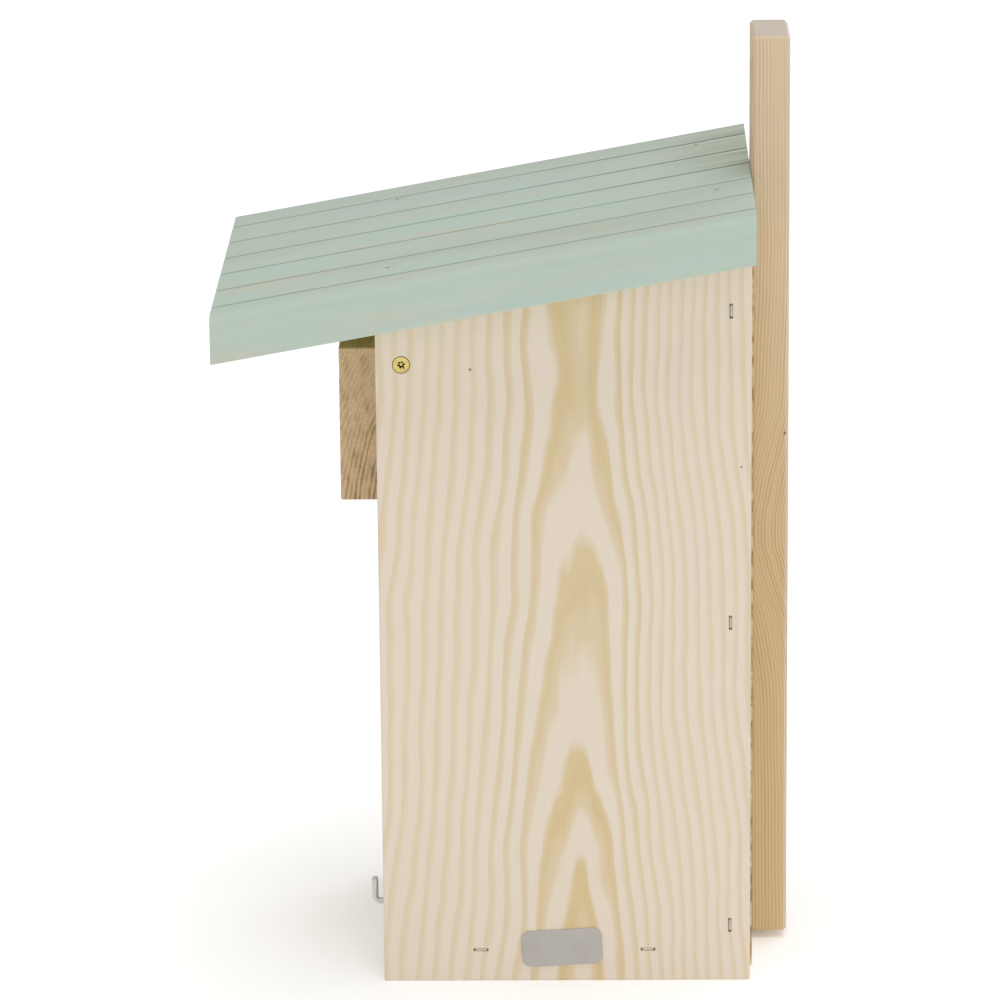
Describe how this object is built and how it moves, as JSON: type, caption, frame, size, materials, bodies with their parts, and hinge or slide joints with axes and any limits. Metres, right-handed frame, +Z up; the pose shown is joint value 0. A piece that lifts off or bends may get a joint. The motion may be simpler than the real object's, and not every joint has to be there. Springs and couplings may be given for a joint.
{
  "type": "nest box",
  "caption": "Wooden nest box with a sloping grooved roof, a protected round entrance, a front panel that swings open on two screws, a wire turn hook and a hanging batten.",
  "frame": {"origin": "middle of the object's bounding box at the level of the side panels' foot", "axes": "+Z up, -Y towards the entrance, +X to the side panel that carries the hook and the label"},
  "size_m": [0.1756, 0.223, 0.3709],
  "materials": {
    "pine_boards": "planed, unfinished pine",
    "block_wood": "sawn end grain",
    "stained_roof": "pale green stain on planed, grooved pine",
    "batten_wood": "planed pine, eased edges",
    "yellow_zinc_screws": "yellow zinc plated",
    "zinc_hook": "bright zinc plated wire",
    "steel_staples": "galvanised wire",
    "label": "satin grey, blank"
  },
  "bodies": {
    "box": {"back_batten": "batten_wood", "back_panel": "pine_boards", "back_staple_left_1": "steel_staples", "back_staple_left_2": "steel_staples", "back_staple_left_3": "steel_staples", "back_staple_right_1": "steel_staples", "back_staple_right_2": "steel_staples", "back_staple_right_3": "steel_staples", "batten_screw_1": "yellow_zinc_screws", "batten_screw_2": "yellow_zinc_screws", "floor_panel": "pine_boards", "floor_staple_left_1": "steel_staples", "floor_staple_left_2": "steel_staples", "floor_staple_right_1": "steel_staples", "floor_staple_right_2": "steel_staples", "label_plate": "label", "left_side_panel": "pine_boards", "right_side_panel": "pine_boards", "roof_board": "stained_roof", "roof_staple_1": "steel_staples", "roof_staple_2": "steel_staples", "roof_staple_3": "steel_staples", "roof_staple_4": "steel_staples"},
    "front": {"front_panel": "pine_boards", "entrance_block": "block_wood", "pivot_screw_right": "yellow_zinc_screws", "pivot_screw_left": "yellow_zinc_screws", "block_staple_1": "steel_staples", "block_staple_2": "steel_staples"},
    "hook": {"turn_hook": "zinc_hook"}
  },
  "joints": [
    {"name": "front_swing", "type": "hinge", "parent": "box", "child": "front", "pos_m": [0, -0.0395, 0.2524], "axis": [-1, 0, 0], "range_deg": [0, 40]},
    {"name": "hook_turn", "type": "hinge", "parent": "box", "child": "hook", "pos_m": [0.054, -0.0495, 0.03], "axis": [0, -1, 0], "range_deg": [-90, 90]}
  ]
}
